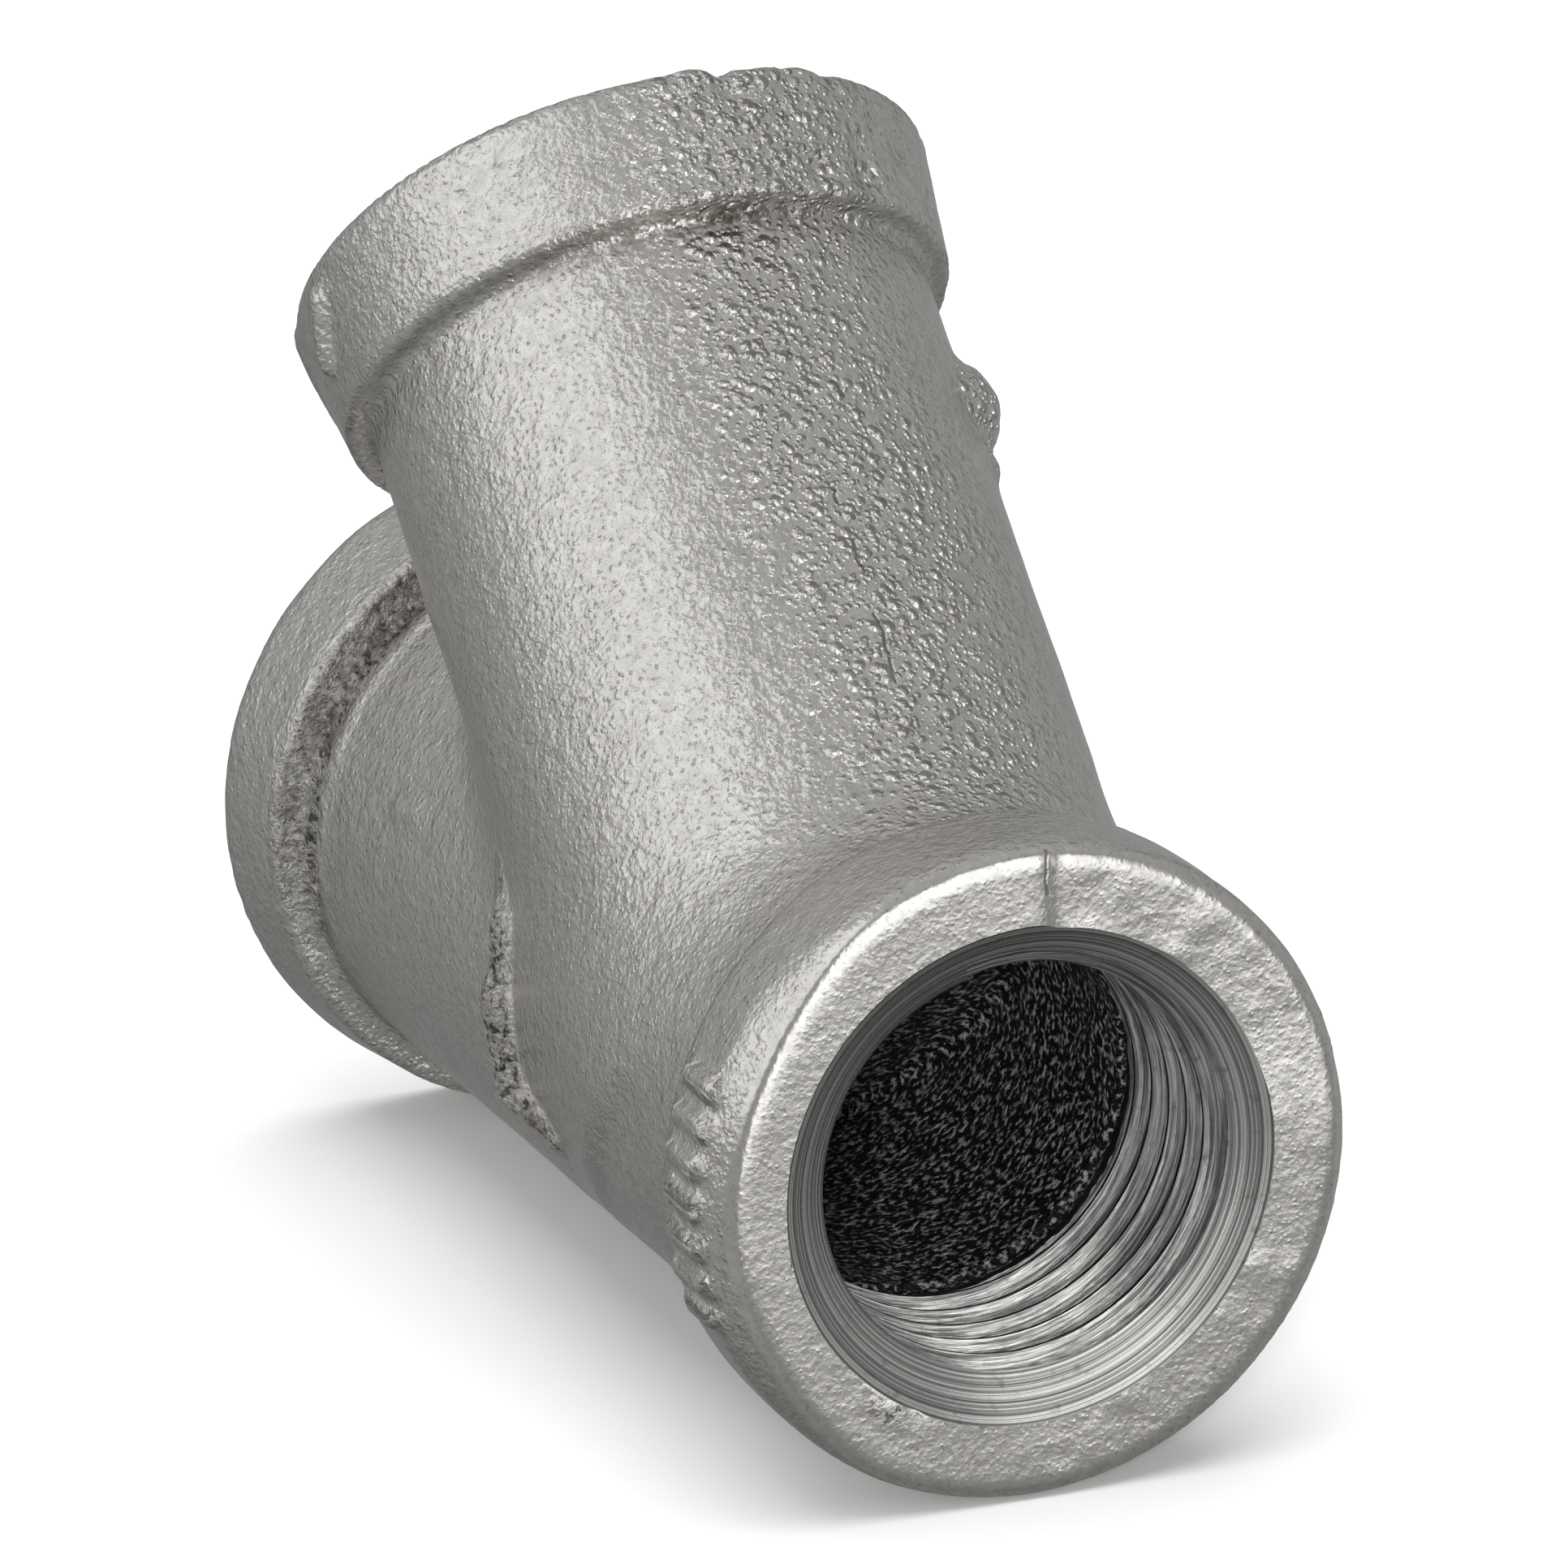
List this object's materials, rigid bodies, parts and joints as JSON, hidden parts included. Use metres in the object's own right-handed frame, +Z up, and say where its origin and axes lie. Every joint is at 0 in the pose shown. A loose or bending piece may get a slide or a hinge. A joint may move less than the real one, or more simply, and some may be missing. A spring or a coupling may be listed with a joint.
{
  "type": "y strainer",
  "caption": "Threaded Y strainer for small pipework: banded cast body, perforated screen in the leaning branch, flush retainer with a blow-off plug.",
  "frame": {"origin": "where the axes of the run and of the branch cross, inside the body", "axes": "+Y along the run from the inlet to the outlet, +Z up, the branch leans from +Y towards +Z in the YZ plane, +X completes the right-handed frame"},
  "size_m": [0.031, 0.0605, 0.0558],
  "materials": {
    "casting": "satin hot-dip galvanised casting skin",
    "screen_steel": "bright stainless",
    "plated_iron": "machined and zinc plated",
    "gasket": "pressed fibre",
    "plug_brass": "machined",
    "seal_rubber": "matte"
  },
  "bodies": {
    "casting": {"body": "casting"},
    "screen": {"screen_tube": "screen_steel", "screen_mesh": "screen_steel", "screen_seat_ring": "screen_steel", "screen_top_ring": "screen_steel", "retainer_gasket": "gasket"},
    "cover": {"retainer": "plated_iron"},
    "seal": {"blow_off_seal": "seal_rubber"},
    "plug": {"blow_off_plug": "plug_brass"}
  },
  "joints": [
    {"name": "retainer_travel", "type": "slide", "parent": "casting", "child": "screen", "axis": [0, 0.7349, 0.6782], "range_m": [0, 0.0091]},
    {"name": "retainer_turn", "type": "hinge", "parent": "screen", "child": "cover", "pos_m": [0, 0.03167, 0.02923], "axis": [0, 0.7349, 0.6782], "range_deg": [0, 1800]},
    {"name": "blow_off_travel", "type": "slide", "parent": "cover", "child": "seal", "axis": [0, 0.7349, 0.6782], "range_m": [0, 0.0057]},
    {"name": "blow_off_turn", "type": "hinge", "parent": "seal", "child": "plug", "pos_m": [0, 0.03153, 0.02909], "axis": [0, 0.7349, 0.6782], "range_deg": [0, 1530]}
  ],
  "couplings": [
    {"joint": "retainer_travel", "follows": "retainer_turn", "m_per_rad": 0.00028875},
    {"joint": "blow_off_travel", "follows": "blow_off_turn", "m_per_rad": 0.00021277}
  ]
}
